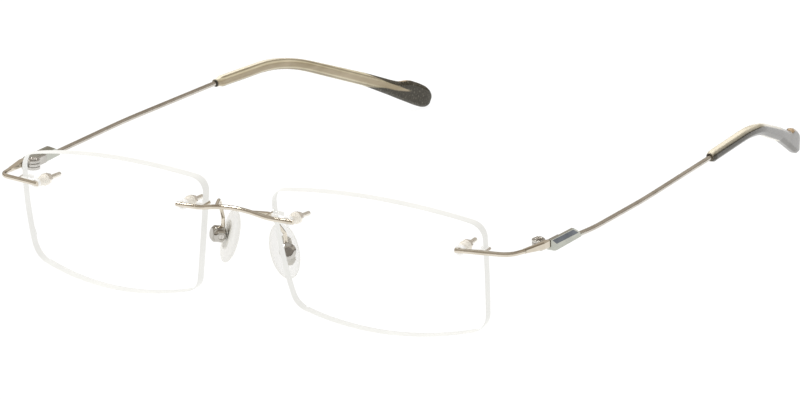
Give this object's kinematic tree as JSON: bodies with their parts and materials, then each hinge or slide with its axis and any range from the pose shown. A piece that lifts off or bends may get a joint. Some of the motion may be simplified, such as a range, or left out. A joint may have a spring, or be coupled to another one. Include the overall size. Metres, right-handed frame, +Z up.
{
  "type": "eyeglasses",
  "caption": "Rimless eyeglasses with rectangular clear lenses bolted to a thin wire bridge and folding wire temples with bent plastic tips.",
  "frame": {"origin": "on the surface the glasses stand on, under the middle of their overall box", "axes": "+X to the wearer's left, +Y backwards along the open temples to their tips, +Z up"},
  "size_m": [0.1374, 0.1544, 0.0323],
  "materials": {
    "wire": "polished nickel silver, slightly warm",
    "temple_metal": "satin, slightly warm silver",
    "hinge": "satin with worn edges",
    "screw": "turned and polished",
    "inlay": "satin slate-blue paint",
    "stud": "satin beige-silver",
    "washer": "satin champagne",
    "nut": "polished",
    "plate": "satin",
    "lens": "clear, polished, with pale frosted edge",
    "clear_washer": "clear to white plastic",
    "bush": "beige plastic",
    "clip": "milky white plastic",
    "pad": "clear silicone",
    "tip": "translucent khaki and dark grey acetate"
  },
  "bodies": {
    "front_frame": {"bridge_wire": "wire", "left_lens": "lens", "left_end_piece": "wire", "left_front_hinge": "hinge", "left_hinge_screw": "screw", "left_pad_arm": "wire", "left_pad_box": "hinge", "left_pad_screw": "screw", "left_temple_side_stud": "stud", "left_temple_side_washer": "clear_washer", "left_temple_side_bush": "bush", "left_temple_side_metal_washer": "washer", "left_temple_side_nut": "nut", "left_temple_side_prong": "wire", "left_temple_side_edge_clip": "clip", "left_nose_side_stud": "stud", "left_nose_side_washer": "clear_washer", "left_nose_side_bush": "bush", "left_nose_side_metal_washer": "washer", "left_nose_side_nut": "nut", "left_nose_side_prong": "wire", "left_nose_side_edge_clip": "clip", "right_lens": "lens", "right_end_piece": "wire", "right_front_hinge": "hinge", "right_hinge_screw": "screw", "right_pad_arm": "wire", "right_pad_box": "hinge", "right_pad_screw": "screw", "right_temple_side_stud": "stud", "right_temple_side_washer": "clear_washer", "right_temple_side_bush": "bush", "right_temple_side_metal_washer": "washer", "right_temple_side_nut": "nut", "right_temple_side_prong": "wire", "right_temple_side_edge_clip": "clip", "right_nose_side_stud": "stud", "right_nose_side_washer": "clear_washer", "right_nose_side_bush": "bush", "right_nose_side_metal_washer": "washer", "right_nose_side_nut": "nut", "right_nose_side_prong": "wire", "right_nose_side_edge_clip": "clip"},
    "left_temple_arm": {"left_temple": "temple_metal", "left_temple_hinge": "hinge", "left_temple_inlay": "inlay", "left_temple_tip": "tip"},
    "right_temple_arm": {"right_temple": "temple_metal", "right_temple_hinge": "hinge", "right_temple_inlay": "inlay", "right_temple_tip": "tip"},
    "left_pad": {"left_pad_plate": "plate", "left_nose_pad": "pad"},
    "right_pad": {"right_pad_plate": "plate", "right_nose_pad": "pad"}
  },
  "joints": [
    {"name": "left_temple_fold", "type": "hinge", "parent": "front_frame", "child": "left_temple_arm", "pos_m": [0.0654, -0.05798, 0.02137], "axis": [0, 0, 1], "range_deg": [0, 86]},
    {"name": "right_temple_fold", "type": "hinge", "parent": "front_frame", "child": "right_temple_arm", "pos_m": [-0.0654, -0.05798, 0.02137], "axis": [0, 0, -1], "range_deg": [0, 82]},
    {"name": "left_pad_rock", "type": "hinge", "parent": "front_frame", "child": "left_pad", "pos_m": [0.00881, -0.0695, 0.01509], "axis": [-0.7758, -0.6062, -0.1751], "range_deg": [-8, 8]},
    {"name": "right_pad_rock", "type": "hinge", "parent": "front_frame", "child": "right_pad", "pos_m": [-0.00881, -0.0695, 0.01649], "axis": [-0.7758, 0.6062, 0.1751], "range_deg": [-8, 8]}
  ]
}
